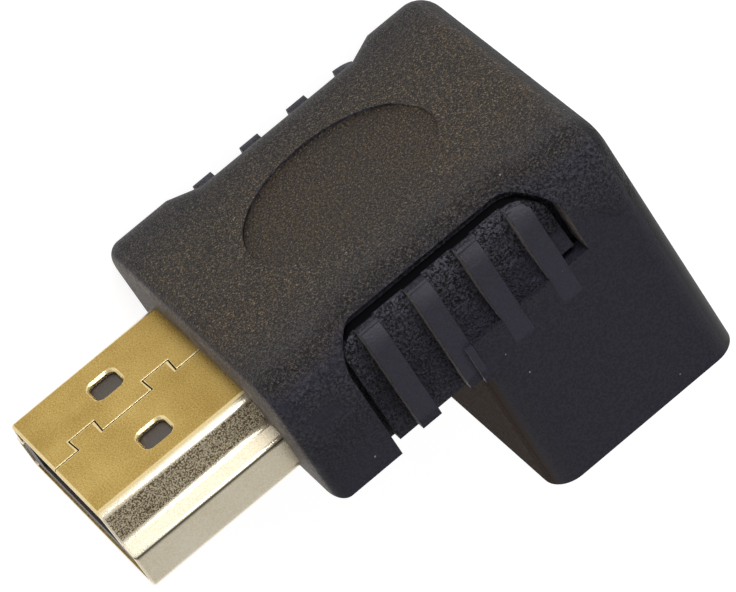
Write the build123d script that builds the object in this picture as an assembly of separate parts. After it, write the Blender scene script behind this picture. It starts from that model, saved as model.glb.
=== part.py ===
from build123d import *
import os

# Right angle audio and video adapter: a gold-plated plug in a moulded elbow with the socket
# turned 90 degrees away from the logo face. It lies on one side face.
# +X points out of the plug, +Y out of the socket, -Y out of the logo face, +Z up.
# The origin is on the floor below the centre of the bounding box. All sizes are in millimetres.

# Moulded elbow
body_width = 19.1            # from side face to side face
body_length = 21.7           # from the back to the face that the plug comes out of
body_height = 16.9           # from the logo face to the socket face
arm_thickness = 8.15         # from the logo face to the underside of the plug's arm
leg_thickness = 12.1         # along the plug's axis
back_draft = 0.25            # how far the back leans in at the logo face
logo_edge_radius = 2.1
back_edge_radius = 1.5
leg_corner_radius = 1.5
front_edge_radius = 0.85

# Elliptical recess in the logo face
logo_length = 11.6
logo_width = 9.1
logo_depth = 0.16
logo_from_front = 10.65

# Ribbed grip recess in both side faces
grip_from_front = 4.1
grip_length = 13.5
grip_depth = 0.95
grip_front_ramp = 0.3
grip_back_ramp = 0.3
grip_front_radius = 1.8
grip_back_radius = 2.6
shoulder_back_ramp = 1.6     # the recess's run-out at the logo face; in front, the corner's radius
grip_end = 5.7               # from the logo face to the recess's end on the leg
grip_fade_start = 3.6        # from the logo face to where the floor starts to rise on the leg
grip_end_step = 0.3
rib_count = 4
rib_width = 1.2
rib_from_grip_front = 2.2    # from the recess's front end to the first rib's middle
rib_from_grip_back = 1.91    # from the recess's back end to the last rib's middle
rib_below_face = 0.2
rib_edge_radius = 0.12
rib_top = 1.0                # from the logo face to the upper end of the ribs
rib_fade_start = 3.6         # from the logo face to where the ribs on the leg start to rise
rib_end = 6.9                # from the logo face to where they run out in the side face
rib_above_under = 0.2        # where the ribs on the arm stop above its underside
groove_width = 0.45
groove_extra_depth = 0.6
groove_from_logo = 0.8

# Plug shell, a stamped D-shaped tube
plug_exposed = 9.5
plug_width = 13.9
plug_height = 4.45
plug_narrow_width = 10.6
plug_wide_height = 2.35      # height of the wide part of the D
plug_sheet = 0.3
plug_bend_radius = 0.5
ledge_bend_radius = 0.35     # where the ledge turns into the side walls
ledge_fall = 0.42            # the ledge slopes down outwards
narrow_wall_lean = 0.5       # the narrow part's walls lean outwards to the ledge
plug_below_logo = 2.45       # from the logo face to the plug's narrow flat
plug_hold = 3.6              # length of shell held in the moulding
plug_lip = 0.12
seam_gap = 0.07
seam_tab_starts = (1.6, 6.4)
seam_tab_length = 1.55
seam_tab_flare = 0.06
seam_tab_depth = 1.05
window_length = 1.65
window_width = 1.5
window_radius = 0.4
window_from_tip = 4.9        # to the window's middle
window_spacing = 5.55
window_bevel = 0.14

# Plug insulator and contacts
fit_gap = 0.05
insulator_set_back = 0.12
slot_side_gap = 0.15         # beside the outermost contacts
slot_height = 1.9
slot_depth = 7.8
contact_count = 19
contact_pitch = 0.5
contact_width = 0.3
contact_sheet = 0.2
contact_set_back = 1.3
contact_bump = 0.2
contact_bump_length = 1.2
contact_joggle = 0.8
tail_length = 2.4

# Circuit board
board_thickness = 1.0
board_side_cover = 0.4       # inner mould beside the board
board_rear_cover = 0.55      # inner mould behind the board
board_behind_shell = 0.4     # from the plug shell's rear end to the board's front edge

# Socket shell
socket_width = 14.0          # inside, across
socket_height = 4.55         # inside, wide face to narrow face
socket_narrow_width = 10.7
socket_wide_height = 2.4
socket_sheet = 0.3
socket_bend_radius = 0.6
socket_set_back = 0.1        # the rim lies this far below the leg's end face
socket_stand_off = 0.4       # from the board to the shell's rear edge
finger_length = 4.2
finger_width = 1.6
finger_slit = 0.2
finger_from_rim = 2.2
finger_spacing = 6.4

# Socket insulator and contacts
socket_base_height = 3.0
tongue_side_gap = 0.1        # beside the outermost contacts
tongue_thickness = 1.6
tongue_set_back = 1.6
socket_contact_sheet = 0.2
socket_contact_set_back = 0.5
foot_length = 1.3

# Inner mould around the board
inner_side_cover = 0.3       # beside the socket shell
inner_over_plug = 0.65       # above and below the plug shell
inner_front_wall = 2.2       # from the front face to the inner mould
inner_back_wall = 1.1
inner_collar_height = 4.2    # from the board down the socket shell
inner_collar_wall = 0.8
tail_room = 0.1

# Places worked out from the sizes
total_length = body_length + plug_exposed
tip_x = total_length / 2
front_x = tip_x - plug_exposed
back_x = front_x - body_length
leg_front_x = back_x + leg_thickness
logo_y = -body_height / 2
socket_y = body_height / 2
arm_under_y = logo_y + arm_thickness
middle_z = body_width / 2
rib_from_front = grip_from_front + rib_from_grip_front
rib_pitch = (grip_length - rib_from_grip_front - rib_from_grip_back) / (rib_count - 1)
plug_wide_y = logo_y + plug_below_logo + plug_height
plug_axis_y = plug_wide_y - plug_height / 2
shell_rear_x = front_x - plug_hold
board_front_x = shell_rear_x - board_behind_shell
board_under_y = plug_axis_y + board_thickness / 2
inner_back_x = back_x + back_draft + inner_back_wall
inner_width = socket_width + 2 * (socket_sheet + inner_side_cover)
board_back_x = inner_back_x + board_rear_cover
board_width = inner_width - 2 * board_side_cover
contact_row_width = (contact_count - 1) * contact_pitch + contact_width
slot_width = contact_row_width + 2 * slot_side_gap
tongue_width = contact_row_width + 2 * tongue_side_gap
socket_axis_x = back_x + leg_thickness / 2
socket_wide_x = socket_axis_x + socket_height / 2
socket_rear_y = board_under_y + socket_stand_off
socket_rim_y = socket_y - socket_set_back


def block(x_range, y_range, z_range):
    """Box from its limits on each axis."""
    size = [high - low for low, high in (x_range, y_range, z_range)]
    centre = [(high + low) / 2 for low, high in (x_range, y_range, z_range)]
    return Pos(*centre) * Box(*size)


def across(width):
    """Limits on Z of something that lies in the middle of the body's width."""
    return (middle_z - width / 2, middle_z + width / 2)


def d_outline(width, height, narrow_width, wide_height, radius):
    """Outline of the connector: wide at the bottom, with a ledge to the narrow part above."""
    half = [
        (width / 2, 0),
        (width / 2, wide_height),
        (narrow_width / 2 + narrow_wall_lean, wide_height + ledge_fall),
        (narrow_width / 2, height),
    ]
    mirrored = [(-x, y) for x, y in reversed(half)]
    face = make_face(Polyline(*half, *mirrored, close=True))
    ledge_corners = [v for v in face.vertices() if abs(v.Y - wide_height) < 0.01]
    face = fillet(ledge_corners, ledge_bend_radius)
    bends = [
        v
        for v in face.vertices()
        if v.Y < 0.01 or v.Y > height - 0.01 or abs(v.Y - wide_height - ledge_fall) < 0.01
    ]
    return fillet(bends, radius)


def plug_plane(x):
    """Section plane of the plug at x, with its origin on the wide face."""
    return Plane(origin=(x, plug_wide_y, middle_z), x_dir=(0, 0, 1), z_dir=(1, 0, 0))


def socket_plane(y):
    """Section plane of the socket at y, with its origin on the inner wide face."""
    return Plane(origin=(socket_wide_x, y, middle_z), x_dir=(0, 0, -1), z_dir=(0, 1, 0))


def plug_outline():
    return d_outline(plug_width, plug_height, plug_narrow_width, plug_wide_height, plug_bend_radius)


def socket_outline():
    return d_outline(
        socket_width, socket_height, socket_narrow_width, socket_wide_height, socket_bend_radius
    )


def row_places():
    """Number, place across and row of each contact: the first row holds one more."""
    for index in range(contact_count):
        offset = (index - (contact_count - 1) / 2) * contact_pitch
        yield f"{index + 1:02d}", middle_z + offset, 1 if index % 2 == 0 else -1


# Moulded elbow

def section_face(x, inset):
    """Cross-section of the elbow at x, narrower by the inset on both sides."""
    sketch = Pos(0, middle_z) * Rectangle(body_height, body_width - 2 * inset)
    logo_corners = sketch.vertices().group_by(Axis.X)[0]
    return Pos(x, 0, 0) * (Plane.YZ * fillet(logo_corners, logo_edge_radius))


def section_bar(x_start, x_end, inset):
    """Bar with the elbow's cross-section, narrower by the inset on both sides."""
    return extrude(section_face(x_start, inset), amount=x_end - x_start, dir=(1, 0, 0))


def elbow():
    """Outer form of the elbow, with its edges rounded."""
    side = make_face(
        Polyline(
            (front_x, logo_y),
            (front_x, arm_under_y),
            (leg_front_x, arm_under_y),
            (leg_front_x, socket_y),
            (back_x, socket_y),
            (back_x + back_draft, logo_y),
            close=True,
        )
    )
    body = extrude(side, amount=body_width)
    long_edges = body.edges().filter_by(Axis.X).group_by(Axis.Y)[0]
    body = fillet(long_edges, logo_edge_radius)
    back = body.faces().sort_by(Axis.X)[0]
    back_edges = back.edges().sort_by(Axis.Y)[:-1]
    body = fillet(back_edges, back_edge_radius)
    leg_edges = [
        edge
        for edge in body.edges().filter_by(Axis.Y)
        if abs(edge.center().X - leg_front_x) < 0.01
    ]
    body = fillet(leg_edges, leg_corner_radius)
    front = body.faces().sort_by(Axis.X)[-1]
    return fillet(front.edges(), front_edge_radius)


def rise(depth, from_logo, end_depth, end_from_logo):
    """Prism over the leg whose sides come up from one depth to another."""
    near_y = logo_y + from_logo
    end_y = logo_y + end_from_logo
    profile = make_face(
        Polyline(
            (near_y, depth),
            (end_y, end_depth),
            (end_y, body_width - end_depth),
            (near_y, body_width - depth),
            close=True,
        )
    )
    return extrude(Pos(back_x, 0, 0) * (Plane.YZ * profile), amount=leg_thickness, dir=(1, 0, 0))


def ramped_core(start, end, front_ramp, back_ramp):
    """What stays of the elbow between two places: the recess's floor with a ramp at each end."""
    front_foot = start - front_ramp
    back_foot = end + back_ramp
    core = section_bar(back_foot, front_foot, grip_depth)
    core += loft([section_face(front_foot, grip_depth), section_face(start, 0)])
    return core + loft([section_face(end, 0), section_face(back_foot, grip_depth)])


def grip_groove(start, end):
    """Groove along the recess's edge, from the arm's underside round both corners."""
    groove_y = logo_y + groove_from_logo
    front_line = start - groove_width / 2
    back_line = end + groove_width / 2
    path = FilletPolyline(
        (front_line, arm_under_y + groove_width),
        (front_line, groove_y),
        (back_line, groove_y),
        (back_line, logo_y + grip_end - groove_width),
        radius=[grip_front_radius - groove_width / 2, grip_back_radius - groove_width / 2],
    )
    return extrude(trace(path, groove_width), amount=body_width)


def groove_end(end):
    """Last stretch of the groove, from the recess's back end to the last rib."""
    last_rib_x = front_x - rib_from_front - (rib_count - 1) * rib_pitch
    return block(
        (end, last_rib_x),
        (logo_y + grip_end - groove_width, logo_y + grip_end),
        (0, body_width),
    )


def rounded_rib(rib, limits):
    """Round the two long outer edges of a rib."""
    middle_x = sum(limits) / 2
    outward = 1 if rib.center().Z > middle_z else -1
    outer = rib.faces().filter_by(lambda face: face.normal_at().Z * outward > 0.01)
    long_edges = [
        edge
        for edge in outer.edges()
        if abs(abs(edge.center().X - middle_x) - rib_width / 2) < 0.001
    ]
    return fillet(long_edges, rib_edge_radius)


def grip_recess(body):
    """Cut the recess with its groove into both sides, then raise the ribs."""
    start = front_x - grip_from_front
    end = start - grip_length
    end_y = logo_y + grip_end
    top_y = logo_y + groove_from_logo - groove_width / 2
    window = make_face(
        Polyline(
            (start, top_y),
            (start, socket_y),
            (leg_front_x, socket_y),
            (leg_front_x, end_y),
            (end, end_y),
            (end, top_y),
            close=True,
        )
    )
    front_corner = [v for v in window.vertices() if v.X > start - 0.01 and v.Y < top_y + 0.01]
    window = fillet(front_corner, grip_front_radius)
    back_corner = [v for v in window.vertices() if v.X < end + 0.01 and v.Y < top_y + 0.01]
    window = fillet(back_corner, grip_back_radius)
    core = ramped_core(start, end, grip_front_ramp, grip_back_ramp)
    core += rise(grip_depth, grip_fade_start, grip_end_step, grip_end)
    body -= extrude(window, amount=body_width) - core
    shoulder = block((end, start), (logo_y, top_y + grip_back_radius), (0, body_width))
    body -= shoulder - ramped_core(start, end, grip_front_radius, shoulder_back_ramp)
    groove_floor = section_bar(end, start, grip_depth + groove_extra_depth)
    body -= groove_end(end) - groove_floor
    arm_core = section_bar(end, start, rib_below_face)
    leg_core = arm_core + rise(rib_below_face, rib_fade_start, 0, rib_end)
    for index in range(rib_count):
        rib_x = front_x - rib_from_front - index * rib_pitch
        on_leg = rib_x < leg_front_x
        limits = (rib_x - rib_width / 2, rib_x + rib_width / 2)
        rib_end_y = logo_y + rib_end if on_leg else arm_under_y - rib_above_under
        rib_core = leg_core if on_leg else arm_core
        if on_leg:
            body -= block(limits, (end_y, rib_end_y), (0, body_width)) - rib_core
        rib = block(limits, (logo_y + rib_top, rib_end_y), (0, body_width))
        rib = rib & (rib_core - groove_floor)
        for side in rib.solids():
            body += rounded_rib(side, limits)
    return body - (grip_groove(start, end) - groove_floor)


def overmould():
    body = grip_recess(elbow())
    recess = Ellipse(logo_length / 2, logo_width / 2)
    place = Plane(
        origin=(front_x - logo_from_front, logo_y, middle_z), x_dir=(1, 0, 0), z_dir=(0, 1, 0)
    )
    body -= extrude(place * recess, amount=logo_depth)
    body -= extrude(plug_plane(shell_rear_x) * plug_outline(), amount=plug_hold)
    outer = offset(socket_outline(), socket_sheet)
    body -= extrude(socket_plane(socket_rear_y) * outer, amount=socket_y - socket_rear_y)
    return body - inner_block()


# Plug

def seam_line():
    """Seam of the folded shell along the narrow flat, with its two locking tabs."""
    points = [(0, 0)]
    for tab_start in seam_tab_starts:
        tab_end = tab_start + seam_tab_length
        points += [
            (tab_start, 0),
            (tab_start - seam_tab_flare, seam_tab_depth),
            (tab_end + seam_tab_flare, seam_tab_depth),
            (tab_end, 0),
        ]
    points.append((plug_exposed + plug_hold, 0))
    return Polyline(*points)


def plug_shell():
    """Folded D-shaped tube with the locked seam and two windows in each broad face."""
    outline = plug_outline()
    ring = outline - offset(outline, -plug_sheet)
    shell = extrude(plug_plane(shell_rear_x) * ring, amount=plug_exposed + plug_hold)
    mouth = shell.faces().sort_by(Axis.X)[-1]
    shell = chamfer(mouth.outer_wire().edges(), plug_lip)
    narrow_y = plug_wide_y - plug_height
    narrow_plane = Plane(origin=(tip_x, narrow_y, middle_z), x_dir=(-1, 0, 0), z_dir=(0, -1, 0))
    wide_plane = Plane(origin=(tip_x, plug_wide_y, middle_z), x_dir=(-1, 0, 0), z_dir=(0, -1, 0))
    seam = extrude(trace(seam_line(), seam_gap), amount=2 * plug_sheet, both=True)
    shell -= narrow_plane * seam
    for side in (-1, 1):
        place = Pos(window_from_tip, side * window_spacing / 2, 0)
        outline = RectangleRounded(window_length, window_width, window_radius)
        opening = extrude(outline, amount=2 * plug_sheet, both=True)
        shell -= narrow_plane * place * opening
        shell -= wide_plane * place * opening
    rims = [
        edge
        for edge in shell.edges()
        if abs(edge.center().Y - narrow_y) < 0.001
        and abs(edge.center().X - (tip_x - window_from_tip)) < window_length
        and abs(abs(edge.center().Z - middle_z) - window_spacing / 2) < window_width
    ]
    return chamfer(rims, window_bevel)


def plug_contact_level(row):
    """Middle of a contact's sheet where it lies in the slot's wall."""
    return plug_axis_y + row * (slot_height / 2 + contact_sheet / 2)


def plug_contact(row, z):
    """Contact with its raised touch point, straight run, joggle and tail on the board."""
    level = plug_contact_level(row)
    tail_level = plug_axis_y + row * (board_thickness / 2 + contact_sheet / 2)
    front = tip_x - contact_set_back
    joggle_start = shell_rear_x + contact_joggle
    bump_end = front - contact_bump_length
    path = [
        (front, level),
        ((front + bump_end) / 2, level - row * contact_bump),
        (bump_end, level),
        (joggle_start, level),
        (joggle_start - contact_joggle, tail_level),
        (board_front_x - tail_length, tail_level),
    ]
    upper = [(x, y + contact_sheet / 2) for x, y in path]
    lower = [(x, y - contact_sheet / 2) for x, y in reversed(path)]
    profile = make_face(Polyline(*upper, *lower, close=True))
    strip = extrude(profile, amount=contact_width / 2, both=True)
    return Pos(0, 0, z) * strip


def plug_insulator():
    """D-shaped block in the shell, with the slot and a groove for each contact."""
    fit = offset(plug_outline(), -plug_sheet - fit_gap)
    rear_x = shell_rear_x + contact_joggle
    front = tip_x - insulator_set_back
    body = extrude(plug_plane(rear_x) * fit, amount=front - rear_x)
    body -= block(
        (tip_x - slot_depth, front),
        (plug_axis_y - slot_height / 2, plug_axis_y + slot_height / 2),
        across(slot_width),
    )
    for _, z, row in row_places():
        level = plug_contact_level(row)
        body -= block(
            (rear_x, tip_x - contact_set_back),
            (level - contact_sheet / 2, level + contact_sheet / 2),
            (z - contact_width / 2, z + contact_width / 2),
        )
    return body


# Circuit board and the inner mould around it

def circuit_board():
    return block(
        (board_back_x, board_front_x),
        (plug_axis_y - board_thickness / 2, board_under_y),
        across(board_width),
    )


def inner_block():
    """Outer form of the inner mould: a block round the board with a collar round the socket."""
    front = front_x - inner_front_wall
    top_y = plug_wide_y - plug_height - inner_over_plug
    under_y = plug_wide_y + inner_over_plug
    body = block((inner_back_x, front), (top_y, under_y), across(inner_width))
    reach = socket_height / 2 + socket_sheet + inner_collar_wall
    collar = block(
        (socket_axis_x - reach, socket_axis_x + reach),
        (board_under_y, board_under_y + inner_collar_height),
        across(inner_width),
    )
    return body + collar


def inner_mould():
    """Moulding that locks the board, the rear of the plug and the root of the socket."""
    body = inner_block()
    body -= extrude(plug_plane(shell_rear_x) * plug_outline(), amount=plug_hold)
    body -= circuit_board()
    outer = offset(socket_outline(), socket_sheet)
    body -= extrude(socket_plane(socket_rear_y) * outer, amount=socket_y - socket_rear_y)
    row_width = contact_row_width + contact_pitch
    tail_reach = board_thickness / 2 + contact_sheet + tail_room
    body -= block(
        (board_front_x - tail_length - tail_room, shell_rear_x),
        (plug_axis_y - tail_reach, plug_axis_y + tail_reach),
        across(row_width + 2 * tail_room),
    )
    foot_reach = tongue_thickness / 2 + foot_length + tail_room
    body -= block(
        (socket_axis_x - foot_reach, socket_axis_x + foot_reach),
        (board_under_y, socket_rear_y),
        across(row_width + 2 * tail_room),
    )
    return body


# Socket

def finger_slits():
    """U-shaped slit that frees one spring finger, with its root at the origin."""
    outside = finger_width + 2 * finger_slit
    slit = Pos(finger_length / 2, 0) * Rectangle(finger_length + finger_slit, outside)
    return slit - Pos(finger_length / 2 - finger_slit, 0) * Rectangle(
        finger_length, finger_width
    )


def socket_shell():
    """D-shaped tube that takes the mating plug, with two spring fingers in each broad face."""
    inner = socket_outline()
    ring = offset(inner, socket_sheet) - inner
    shell = extrude(socket_plane(socket_rear_y) * ring, amount=socket_rim_y - socket_rear_y)
    finger_root_y = socket_rim_y - finger_from_rim
    for face_x in (socket_wide_x, socket_wide_x - socket_height):
        for side in (-1, 1):
            place = Plane(
                origin=(face_x, finger_root_y, middle_z + side * finger_spacing / 2),
                x_dir=(0, -1, 0),
                z_dir=(1, 0, 0),
            )
            shell -= place * extrude(finger_slits(), amount=2 * socket_sheet, both=True)
    return shell


def socket_contact_x(row):
    """Middle of a contact's sheet where it lies in the tongue's face."""
    return socket_axis_x + row * (tongue_thickness / 2 - socket_contact_sheet / 2)


def socket_contact(row, z):
    """Contact flush in the tongue, running through the base to a foot on the board."""
    x = socket_contact_x(row)
    near = x - row * socket_contact_sheet / 2
    far = x + row * socket_contact_sheet / 2
    tip_y = socket_rim_y - tongue_set_back - socket_contact_set_back
    foot_y = board_under_y + socket_contact_sheet
    profile = make_face(
        Polyline(
            (near, tip_y),
            (near, board_under_y),
            (far + row * foot_length, board_under_y),
            (far + row * foot_length, foot_y),
            (far, foot_y),
            (far, tip_y),
            close=True,
        )
    )
    strip = extrude(profile, amount=contact_width / 2, both=True)
    return Pos(0, 0, z) * strip


def socket_insulator():
    """Base in the rear of the shell and the tongue, with a groove for each contact."""
    fit = offset(socket_outline(), -fit_gap)
    base = extrude(socket_plane(socket_rear_y) * fit, amount=socket_base_height)
    tongue = block(
        (socket_axis_x - tongue_thickness / 2, socket_axis_x + tongue_thickness / 2),
        (socket_rear_y, socket_rim_y - tongue_set_back),
        across(tongue_width),
    )
    body = base + tongue
    for _, z, row in row_places():
        x = socket_contact_x(row)
        body -= block(
            (x - socket_contact_sheet / 2, x + socket_contact_sheet / 2),
            (socket_rear_y, socket_rim_y - tongue_set_back - socket_contact_set_back),
            (z - contact_width / 2, z + contact_width / 2),
        )
    return body


def build_nodes():
    nodes = {
        "overmould_body": overmould(),
        "inner_mould": inner_mould(),
        "circuit_board": circuit_board(),
        "plug_shell": plug_shell(),
        "plug_insulator": plug_insulator(),
        "socket_shell": socket_shell(),
        "socket_insulator": socket_insulator(),
    }
    for number, z, row in row_places():
        nodes[f"plug_contact_{number}"] = plug_contact(row, z)
        nodes[f"socket_contact_{number}"] = socket_contact(row, z)
    return nodes


os.makedirs("parts", exist_ok=True)
for name, shape in build_nodes().items():
    solids = shape.solids()
    print(name, "solids", len(solids), "volume", round(shape.volume, 2))
    shape.label = name
    export_step(shape, f"parts/{name}.step")
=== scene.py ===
import math

import bpy
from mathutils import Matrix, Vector

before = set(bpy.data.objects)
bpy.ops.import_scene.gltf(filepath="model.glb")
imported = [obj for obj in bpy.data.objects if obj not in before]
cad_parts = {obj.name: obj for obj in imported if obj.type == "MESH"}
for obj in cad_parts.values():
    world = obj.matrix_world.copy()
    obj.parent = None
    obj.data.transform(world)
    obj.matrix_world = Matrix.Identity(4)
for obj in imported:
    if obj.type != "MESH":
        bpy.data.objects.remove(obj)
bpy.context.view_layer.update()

MM = 0.001

# Places on the elbow, in millimetres, in the frame's own axes
FRONT_X = 6.1                # face that the plug comes out of
LOGO_Y = -8.45               # face with the elliptical recess
WIDTH = 19.1                 # from side face to side face
MIDDLE_Z = WIDTH / 2

# Ribs and grip recess: along the arm from the front face, and down from the logo face
RIB_FROM_FRONT = 6.3         # middle of the first rib
RIB_PITCH = 3.13
RIB_WIDTH = 1.2
RIB_COUNT = 4
RIB_TOP = 1.025
RIB_END = 7.4
RIB_BELOW_SIDE = 0.675       # what lies less deep than this in the recess is a rib
GRIP_BELOW_SIDE = 0.8        # what lies deeper than this is the recess's floor
GRIP_FRONT = 4.4
GRIP_BACK = 17.4
GRIP_TOP = 1.1
GROOVE_TOP = 0.7
GROOVE_BELOW_SIDE = 1.1
UNDER_ARM = 8.15             # from the logo face to the underside of the plug's arm

# Painted highlights, reflections and tints on the plug: down from the logo face, and across from the
# middle
RIMS_END = 2.95
RIMS_ACROSS = 5.0
EDGE_END = 2.55              # painted highlight along one edge of the flat with the seam
EDGE_ACROSS = 4.7
SEAM_END = 2.65
WALL_END = 4.35              # speckled wall painted as a mottled reflection, down to the ledge
BEND_START = 4.25            # painted dark reflection line at the ledge
BEND_END = 5.15
SEAM_TABS = (7.7, 12.5)      # start of each tab of the seam, along x
TAB_LENGTH = 1.55
TAB_DEPTH = 1.05
SEAM_WIDTH = 0.1             # painted highlight to this distance on both sides of the seam

# Grain: noise scales per millimetre, and depths in millimetres
SPARK_SCALE = 7.0
FINE_SCALE = 14.0
WARP_SCALE = 1.6
CREASE_SCALE = 6.6
PATCH_SCALE = 0.3
TINT_SCALE = 2.4
TONE_SCALE = 0.13
DUST_SCALE = 0.8
DUST_PATCH_SCALE = 0.5
MOULDING_DEPTH = 0.16
MOULDING_SPECULAR = 0.24
MOTTLE_SCALE = 11.0
CLOUD_SCALE = 0.35
SPECKLE_SCALE = 12.0
GOLD_DEPTH = 0.012

# Softened edges: bevel widths in millimetres and angles in degrees
SOFT_EDGE = 0.06             # on the moulding
SHEET_EDGE = 0.07            # on the plug's sheet
SHARP_ANGLE = 38             # an edge that turns by more than this gets a bevel
FLAT_ANGLE = 0.2             # faces that differ by less than this are joined first
WELD_GAP = 0.0001

# Light: strength of the surround and of the sky above, and one soft lamp
SURROUND = 0.62
OVERHEAD = 0.25
SKY_FROM = 0.8               # height of a direction at which the sky above starts
SKY_FULL = 0.97
KEY_PLACE = (-0.08, -0.30, 0.14)     # the lamp and the floor's size are in metres
KEY_SIZE = 0.16
KEY_POWER = 0.7
FLOOR_SIZE = 4.0
FLOOR_DROP = 0.02            # millimetres below the object
FLOOR_GREY = 0.6             # as it lights the object
FLOOR_GLOW = 0.84            # as the camera and gloss see it
FLOOR_SHADE = 0.35           # how much the object's shadow shows

# Camera, fitted to the photograph
CAMERA_PLACE = (33.607, -179.083, 230.355)
CAMERA_TURN = (-28.4294, -28.4216, 150.1941)
CAMERA_LENS = 274.74
CAMERA_RANGE = (0.01, 10.0)  # metres
SENSOR = 36.0


class Socket:
    """A number in a material, on which sums add Math nodes."""

    def __init__(self, finish, socket):
        self.finish = finish
        self.socket = socket

    def math(self, operation, first, second=None):
        values = {0: first}
        if second is not None:
            values[1] = second
        return self.finish.node("ShaderNodeMath", {"operation": operation}, values)[0]

    def __add__(self, other):
        return self.math("ADD", self, other)

    def __radd__(self, other):
        return self.math("ADD", other, self)

    def __sub__(self, other):
        return self.math("SUBTRACT", self, other)

    def __rsub__(self, other):
        return self.math("SUBTRACT", other, self)

    def __mul__(self, other):
        return self.math("MULTIPLY", self, other)

    def __rmul__(self, other):
        return self.math("MULTIPLY", other, self)

    def __abs__(self):
        return self.math("ABSOLUTE", self)

    def max(self, other):
        return self.math("MAXIMUM", self, other)

    def past(self, edge, blur):
        """1 above an edge and 0 below it, blurred by so much to both sides."""
        return self.ramp(edge - blur, edge + blur)

    def short_of(self, edge, blur):
        """0 above an edge and 1 below it."""
        return self.ramp(edge + blur, edge - blur)

    def ramp(self, low, high):
        """0 below low, 1 above high and smooth between; low may be the higher one."""
        settings = {"interpolation_type": "SMOOTHSTEP"}
        if low < high:
            return self.finish.node("ShaderNodeMapRange", settings, {0: self, 1: low, 2: high})[0]
        flipped = self.finish.node("ShaderNodeMapRange", settings, {0: self, 1: high, 2: low})[0]
        return 1 - flipped


class Finish:
    """A material with one principled shader."""

    def __init__(self, name, roughness, metallic=0.0):
        self.material = bpy.data.materials.new(name)
        self.material.use_nodes = True
        self.tree = self.material.node_tree
        self.shader = self.tree.nodes["Principled BSDF"]
        self.shader.inputs["Roughness"].default_value = roughness
        self.shader.inputs["Metallic"].default_value = metallic

    def node(self, kind, settings=None, values=None):
        """Adds a node with its settings and inputs, and returns its outputs."""
        made = self.tree.nodes.new(kind)
        for name, value in (settings or {}).items():
            setattr(made, name, value)
        for name, value in (values or {}).items():
            self.feed(made.inputs[name], value)
        return [Socket(self, output) for output in made.outputs]

    def feed(self, socket, value):
        if isinstance(value, Socket):
            self.tree.links.new(value.socket, socket)
        else:
            socket.default_value = value

    def set(self, name, value):
        self.feed(self.shader.inputs[name], value)

    def place(self):
        """Object coordinates in millimetres, as a vector and as its three numbers."""
        where = self.node("ShaderNodeTexCoord")[3]
        settings = {"operation": "SCALE"}
        vector = self.node("ShaderNodeVectorMath", settings, {0: where, "Scale": 1 / MM})[0]
        return vector, self.node("ShaderNodeSeparateXYZ", None, {0: vector})

    def facing(self):
        """The surface's own direction as three numbers."""
        normal = self.node("ShaderNodeNewGeometry")[1]
        return self.node("ShaderNodeSeparateXYZ", None, {0: normal})

    def noise(self, vector, scale, detail=2.0, roughness=0.5, distortion=0.0):
        values = {"Vector": vector, "Scale": scale, "Detail": detail, "Roughness": roughness}
        values["Distortion"] = distortion
        return self.node("ShaderNodeTexNoise", None, values)[0]

    def cells(self, vector, scale):
        """Distance to the nearest of scattered points."""
        return self.node("ShaderNodeTexVoronoi", None, {"Vector": vector, "Scale": scale})[0]

    def mix(self, share, first, second):
        """Colour between two colours."""
        settings = {"data_type": "RGBA"}
        return self.node("ShaderNodeMix", settings, {0: share, 6: first, 7: second})[2]

    def cover(self, share, shader):
        """Mixes another shader over the surface so far."""
        surface = self.tree.nodes["Material Output"].inputs["Surface"]
        below = Socket(self, surface.links[0].from_socket)
        self.feed(surface, self.node("ShaderNodeMixShader", None, {0: share, 1: below, 2: shader})[0])

    def dull(self, share, colour):
        """Mixes in a plain shader without any gloss."""
        self.cover(share, self.node("ShaderNodeBsdfDiffuse", None, {"Color": colour})[0])

    def bump(self, height, depth):
        """Bump of a height from 0 to 1, with its depth in millimetres."""
        values = {"Height": height, "Distance": depth * MM, "Strength": 1.0}
        self.set("Normal", self.node("ShaderNodeBump", None, values)[0])


def rgb(red, green, blue):
    """Linear colour from the 0 to 255 numbers that a screen shows."""
    linear = []
    for part in (red, green, blue):
        share = part / 255
        linear.append(share / 12.92 if share <= 0.04045 else ((share + 0.055) / 1.055) ** 2.4)
    return (*linear, 1.0)


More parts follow.
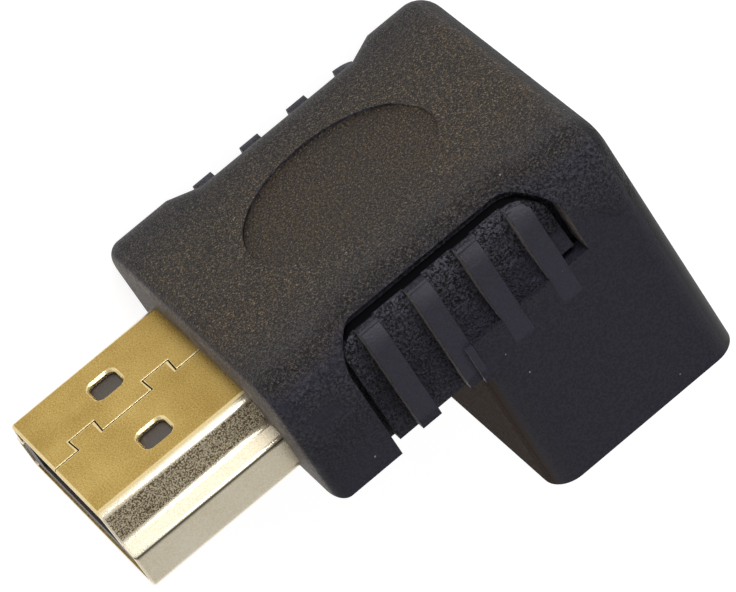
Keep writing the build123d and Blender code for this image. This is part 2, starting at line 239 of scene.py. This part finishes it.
class Elbow:
    """Where a point of the moulding lies, as distances in millimetres and masks from 0 to 1."""

    def __init__(self, finish):
        self.vector, (x, y, z) = finish.place()
        normal_x, normal_y, _ = finish.facing()
        self.from_logo = y - LOGO_Y
        self.below_side = MIDDLE_Z - abs(z - MIDDLE_Z)
        from_front = FRONT_X - x
        logo_facing = 0 - normal_y
        self.logo_side = logo_facing.ramp(0.35, 0.92)
        # faces turned towards the back, for painted shade
        self.painted_back_shade = (0 - normal_x).ramp(0.5, 0.6)

        ribs = None
        for index in range(RIB_COUNT):
            middle = RIB_FROM_FRONT + index * RIB_PITCH
            rib = abs(from_front - middle).short_of(RIB_WIDTH / 2, 0.03)
            ribs = rib if ribs is None else ribs.max(rib)
        self.ribs = ribs * self.below_side.short_of(RIB_BELOW_SIDE, 0.075)
        self.rib_faces = self.ribs * self.from_logo.past(RIB_TOP, 0.075)
        self.rib_faces = self.rib_faces * self.from_logo.short_of(RIB_END, 0.2)
        # upper ends of the ribs, for a painted highlight
        self.rib_end_highlight = self.ribs * self.from_logo.ramp(2.6, 1.2)

        along = from_front.past(GRIP_FRONT, 0.2) * from_front.short_of(GRIP_BACK, 0.2)
        self.grip = self.below_side.past(GRIP_BELOW_SIDE, 0.05) * along
        self.grip = self.grip * self.from_logo.past(GRIP_TOP, 0.1)
        # the groove's wall that faces the logo side, for painted shade
        self.groove_painted_shade = logo_facing.past(0.8, 0.1) * self.from_logo.past(GROOVE_TOP, 0.05)
        self.groove_painted_shade = self.groove_painted_shade * self.below_side.past(GROOVE_BELOW_SIDE, 0.1)

        # every face turned towards the plug above the arm's underside, for painted light
        self.front_painted_light = normal_x.past(0.85, 0.1) * self.from_logo.short_of(UNDER_ARM, 0.15)
        # inner faces turned towards +x past the arm's underside, for painted shade
        self.inside_painted_shade = normal_x.past(0.7, 0.2) * self.from_logo.past(UNDER_ARM, 0.15)


def logo_face_colour(finish, elbow, spark, fine, warp, grains):
    """Brown grain with pale specks painted as glints, and greyer towards the side faces as painted
    shade.
    """
    glint_flecks = (spark * 0.4 + fine * 0.6).ramp(0.6, 0.65)
    tint = finish.noise(elbow.vector, TINT_SCALE).ramp(0.42, 0.58)
    tone = finish.noise(elbow.vector, TONE_SCALE, 1.0).ramp(0.4, 0.6)
    # painted shade: the logo face turns greyer towards the side faces
    greyer = (elbow.below_side + warp).ramp(7.0, 2.0)
    grain = finish.mix(tint, rgb(80, 65, 45), rgb(70, 56, 48))
    grain = finish.mix(tone * 0.6, grain, rgb(66, 58, 48))
    grain = finish.mix(greyer * 0.8, grain, rgb(57, 54, 59))
    colour = finish.mix(grains, rgb(8, 6, 5), grain)
    # painted highlight: pale specks stand in for glints on the grain
    return finish.mix(glint_flecks * (1 - greyer * 0.6) * 0.65, colour, rgb(164, 148, 116))


def side_colour(finish, elbow, spark, fine, creases, leather):
    """Blue-black as painted shade: plain faces, smoother ribs with painted highlights at their upper
    ends, and wrinkled leather grain with crests painted lighter towards the logo face.
    """
    plain = finish.mix(spark.ramp(0.4, 0.6), rgb(31, 30, 40), rgb(43, 41, 52))
    rib = finish.mix(fine, rgb(34, 33, 44), rgb(68, 66, 78))
    plain = finish.mix(elbow.rib_faces * 0.6, plain, rib)
    # painted highlight: the ribs' upper ends are paler
    plain = finish.mix(elbow.rib_end_highlight * (fine * 0.4 + 0.05), plain, rgb(96, 94, 98))
    # painted light and shade: wrinkle crests lighter towards the logo face and darker lower down
    crest_painted_light = finish.mix(elbow.from_logo.ramp(1.2, 5.5), rgb(88, 87, 96), rgb(56, 54, 66))
    wrinkled = finish.mix(creases.ramp(0.4, 0.58), rgb(16, 15, 20), crest_painted_light)
    share = leather * (1 - elbow.rib_faces) * (elbow.grip * 0.5 + 0.5)
    return finish.mix(share, plain, wrinkled)


def grained_rubber():
    """Black soft moulding: spark grain on the logo face, leather grain and smooth parts beside."""
    finish = Finish("Grained black moulding", 0.5)
    elbow = Elbow(finish)
    vector, from_logo, logo_side = elbow.vector, elbow.from_logo, elbow.logo_side

    spark = finish.noise(vector, SPARK_SCALE, 2.0, 0.6)
    fine = finish.noise(vector, FINE_SCALE, 2.0, 0.6)
    warp = finish.noise(vector, WARP_SCALE)
    creases = finish.noise(vector, CREASE_SCALE, 2.0, 0.55, distortion=0.6)
    patch = finish.noise(vector, PATCH_SCALE, 1.0)
    grains = (spark * 0.6 + fine * 0.4).ramp(0.43, 0.58)
    leather = from_logo.ramp(8.0, 4.0) * (patch + warp * 0.5).ramp(0.55, 0.85)
    leather = leather.max(elbow.grip * (warp.ramp(0.35, 0.6) * 0.5 + 0.5))
    smooth = from_logo.ramp(6.0, 10.0)

    logo_height = spark * 0.8 + fine * 0.5
    side_height = creases * (leather * 2.6 + 0.25) + fine * 0.2
    height = side_height + logo_side * (logo_height - side_height)
    height = height * (1 - elbow.rib_faces * 0.8) * (1 - smooth * 0.8)
    finish.bump(height, MOULDING_DEPTH)

    brown = logo_face_colour(finish, elbow, spark, fine, warp, grains)
    blue = side_colour(finish, elbow, spark, fine, creases, leather)
    # painted light and shade by facing: brown on the lit logo face, blue-black on the side faces in
    # shade; the grain itself also differs
    colour = finish.mix(logo_side * from_logo.ramp(1.1, 0.7), blue, brown)
    # painted shade: faces turned towards the back are darkened to near black
    colour = finish.mix(elbow.painted_back_shade * 0.85, colour, rgb(12, 11, 12))
    # painted light: those faces get a pale grey grain, as if lit more
    painted_lit_grey = finish.mix(grains, rgb(112, 105, 100), rgb(152, 144, 138))
    colour = finish.mix(elbow.front_painted_light * 0.8, colour, painted_lit_grey)
    dust = finish.cells(vector, DUST_SCALE).ramp(0.05, 0.035)
    dust = dust * finish.noise(vector, DUST_PATCH_SCALE).ramp(0.46, 0.54)
    colour = finish.mix(dust * 0.7, colour, rgb(170, 168, 166))
    finish.set("Base Color", colour)
    finish.set("Roughness", 0.42 + spark * 0.14 + (1 - logo_side) * 0.08)
    finish.set("Specular IOR Level", MOULDING_SPECULAR)
    # painted shade: the groove's wall is covered with a near-black matte shader
    finish.dull(elbow.groove_painted_shade, rgb(13, 12, 14))
    # painted shade: a matte brown copy of the moulding on those inner faces
    finish.dull(elbow.inside_painted_shade * (grains * 0.16 + 0.72), rgb(64, 52, 42))
    return finish.material


def beside_seam(x, z, width):
    """1 within a width of the plug's tabbed seam."""
    blur = 0.02
    across = z - MIDDLE_Z
    wider = across.ramp(-width - blur, -width)
    narrower = across.ramp(width - blur, width)
    for start in SEAM_TABS:
        along = abs(x - (start + TAB_LENGTH / 2))
        outer = along.ramp(TAB_LENGTH / 2 + width + blur, TAB_LENGTH / 2 + width)
        inner = along.ramp(TAB_LENGTH / 2 - width + blur, TAB_LENGTH / 2 - width)
        depth = across + TAB_DEPTH
        wider = wider.max(outer * depth.ramp(-width - blur, -width))
        narrower = narrower.max(inner * depth.ramp(width - blur, width))
    return wider * (1 - narrower)


def gold_sheet():
    """Thin gold plate on stamped sheet: warm on the flats and paler where the sheet is bent, with
    painted highlights along the seam and one edge, painted reflections on the narrow wall and ledge,
    and painted shade near the root.
    """
    finish = Finish("Gold-plated sheet", 0.26, 1.0)
    vector, (x, y, z) = finish.place()
    _, normal_y, normal_z = finish.facing()
    from_logo = y - LOGO_Y
    across = z - MIDDLE_Z

    bent = (1 - abs(normal_y)).ramp(0.005, 0.03)
    # painted highlight: a pale band beside the tabbed seam
    seam = beside_seam(x, z, SEAM_WIDTH) * from_logo.short_of(SEAM_END, 0.05)
    # painted highlight along the near edge of the flat
    edge_highlight = across.past(EDGE_ACROSS, 0.04) * from_logo.short_of(EDGE_END, 0.05)
    window_rims = from_logo.short_of(RIMS_END, 0.05) * abs(across).short_of(RIMS_ACROSS, 0.1)
    narrow_wall = abs(normal_z).past(0.85, 0.05) * from_logo.short_of(WALL_END, 0.05)
    ledge_dark_reflection = abs(normal_y + 0.45).short_of(0.13, 0.05)
    ledge_dark_reflection = ledge_dark_reflection * from_logo.past(BEND_START, 0.05) * from_logo.short_of(BEND_END, 0.05)
    root_shade = (x - FRONT_X).ramp(5.0, 0.0)

    mottle = finish.noise(vector, MOTTLE_SCALE, 3.0, 0.6)
    cloud = finish.noise(vector, CLOUD_SCALE)
    speckle = finish.noise(vector, SPECKLE_SCALE, 2.0, 0.65)
    share = (mottle * 0.7 + cloud * 0.3).ramp(0.34, 0.66)
    warm = finish.mix(share, rgb(158, 128, 62), rgb(200, 172, 102))
    # painted shade: the gold darkens towards the root under the body
    warm = finish.mix(root_shade * 0.25, warm, rgb(134, 106, 50))
    rim = finish.mix(share, rgb(214, 190, 134), rgb(234, 216, 166))
    pale = finish.mix(share, rgb(232, 218, 188), rgb(246, 238, 216))
    pale = finish.mix(window_rims, pale, rim)
    # painted reflection: the narrow wall's speckles are dark and pale, over a real fine mottle
    speckled = finish.mix(speckle.ramp(0.42, 0.58), rgb(122, 102, 74), rgb(252, 238, 206))
    # bent faces take the pale plating; the seam's band and the near edge are painted pale as
    # highlights
    colour = finish.mix(bent.max(seam).max(edge_highlight), warm, pale)
    colour = finish.mix(narrow_wall, colour, speckled)
    # painted reflection: a dark line on the bend at the ledge
    colour = finish.mix(ledge_dark_reflection * 0.8, colour, rgb(84, 74, 48))
    finish.set("Base Color", colour)
    finish.set("Roughness", 0.22 + mottle * 0.14)
    finish.bump(speckle * (narrow_wall * 2.0 + 0.6), GOLD_DEPTH)
    return finish.material


def dark_insulator():
    finish = Finish("Dark grey insulator", 0.5)
    vector, _ = finish.place()
    cloud = finish.noise(vector, 0.8)
    finish.set("Base Color", finish.mix(cloud, rgb(62, 55, 50), rgb(74, 66, 60)))
    finish.set("Roughness", 0.42 + cloud * 0.14)
    finish.bump(finish.noise(vector, 6.0), 0.01)
    return finish.material


def contact_metal():
    finish = Finish("Polished gold contacts", 0.2, 1.0)
    vector, _ = finish.place()
    streak = finish.noise(vector, 4.0)
    finish.set("Base Color", finish.mix(streak, rgb(228, 190, 108), rgb(240, 208, 136)))
    finish.set("Roughness", 0.16 + streak * 0.12)
    return finish.material


def board_mask():
    finish = Finish("Green solder mask", 0.35)
    vector, _ = finish.place()
    cloud = finish.noise(vector, 1.2)
    finish.set("Base Color", finish.mix(cloud, rgb(28, 84, 48), rgb(34, 96, 56)))
    finish.set("Roughness", 0.3 + cloud * 0.12)
    return finish.material


def inner_plastic():
    finish = Finish("Pale inner moulding", 0.5)
    vector, _ = finish.place()
    cloud = finish.noise(vector, 1.0)
    finish.set("Base Color", finish.mix(cloud, rgb(196, 195, 190), rgb(206, 204, 198)))
    finish.set("Roughness", 0.46 + cloud * 0.1)
    return finish.material


def give(node, material):
    """Puts a material on a node of the frame."""
    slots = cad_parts[node].data.materials
    slots.clear()
    slots.append(material)


def soften(node, width):
    """Rounds a node's sharp edges a little, as moulding and stamping leave them."""
    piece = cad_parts[node]
    weld = piece.modifiers.new("Join", "WELD")
    weld.merge_threshold = WELD_GAP * MM
    flats = piece.modifiers.new("Flats", "DECIMATE")
    flats.decimate_type = "DISSOLVE"
    flats.angle_limit = math.radians(FLAT_ANGLE)
    bevel = piece.modifiers.new("Edges", "BEVEL")
    bevel.width = width * MM
    bevel.segments = 2
    bevel.limit_method = "ANGLE"
    bevel.angle_limit = math.radians(SHARP_ANGLE)
    bevel.use_clamp_overlap = True
    bevel.harden_normals = True


def finish_nodes():
    gold = gold_sheet()
    insulator = dark_insulator()
    contacts = contact_metal()
    give("overmould_body", grained_rubber())
    give("inner_mould", inner_plastic())
    give("circuit_board", board_mask())
    for node in ("plug_shell", "socket_shell"):
        give(node, gold)
    for node in ("plug_insulator", "socket_insulator"):
        give(node, insulator)
    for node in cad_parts:
        if "_contact_" in node:
            give(node, contacts)
    soften("overmould_body", SOFT_EDGE)
    soften("plug_shell", SHEET_EDGE)


def white_floor():
    """Floor that shows white to the camera and in metal, with the object's faint shadow on it."""
    bpy.ops.mesh.primitive_plane_add(size=FLOOR_SIZE, location=(0, 0, -FLOOR_DROP * MM))
    floor = bpy.context.object
    floor.name = "Floor"
    finish = Finish("White floor", 0.9)
    finish.set("Base Color", (FLOOR_GREY, FLOOR_GREY, FLOOR_GREY, 1))
    shade = (FLOOR_SHADE, FLOOR_SHADE, FLOOR_SHADE, 1)
    faint = finish.node("ShaderNodeBsdfDiffuse", None, {"Color": shade})[0]
    bright = finish.node("ShaderNodeEmission", None, {"Strength": FLOOR_GLOW})[0]
    shown = finish.node("ShaderNodeAddShader", None, {0: bright, 1: faint})[0]
    path = finish.tree.nodes.new("ShaderNodeLightPath")
    seen = Socket(finish, path.outputs["Is Camera Ray"])
    for ray in ("Is Glossy Ray", "Is Transmission Ray"):
        seen = seen.max(Socket(finish, path.outputs[ray]))
    finish.cover(seen, shown)
    floor.data.materials.append(finish.material)


def studio_light():
    """Soft surround that is dimmer overhead, and one soft lamp from the logo side."""
    world = bpy.data.worlds.new("Studio")
    bpy.context.scene.world = world
    world.use_nodes = True
    nodes, links = world.node_tree.nodes, world.node_tree.links
    direction = nodes.new("ShaderNodeTexCoord")
    split = nodes.new("ShaderNodeSeparateXYZ")
    links.new(direction.outputs["Generated"], split.inputs[0])
    height = nodes.new("ShaderNodeMapRange")
    height.interpolation_type = "SMOOTHSTEP"
    for place, value in enumerate((SKY_FROM, SKY_FULL, SURROUND, OVERHEAD)):
        height.inputs[place + 1].default_value = value
    links.new(split.outputs["Z"], height.inputs[0])
    background = nodes["Background"]
    background.inputs["Color"].default_value = (1, 1, 1, 1)
    links.new(height.outputs[0], background.inputs["Strength"])

    data = bpy.data.lights.new("Key", "AREA")
    data.size = KEY_SIZE
    data.energy = KEY_POWER
    lamp = bpy.data.objects.new("Key", data)
    bpy.context.collection.objects.link(lamp)
    lamp.location = KEY_PLACE
    aim = Vector((0, 0, MIDDLE_Z * MM)) - Vector(KEY_PLACE)
    lamp.rotation_euler = aim.to_track_quat("-Z", "Y").to_euler()


def camera():
    data = bpy.data.cameras.new("Camera")
    data.sensor_width = SENSOR
    data.lens = CAMERA_LENS
    data.clip_start, data.clip_end = CAMERA_RANGE
    made = bpy.data.objects.new("Camera", data)
    bpy.context.collection.objects.link(made)
    made.location = Vector(CAMERA_PLACE) * MM
    made.rotation_euler = [math.radians(angle) for angle in CAMERA_TURN]
    bpy.context.scene.camera = made


finish_nodes()
white_floor()
studio_light()
camera()
bpy.context.scene.view_settings.view_transform = "Standard"
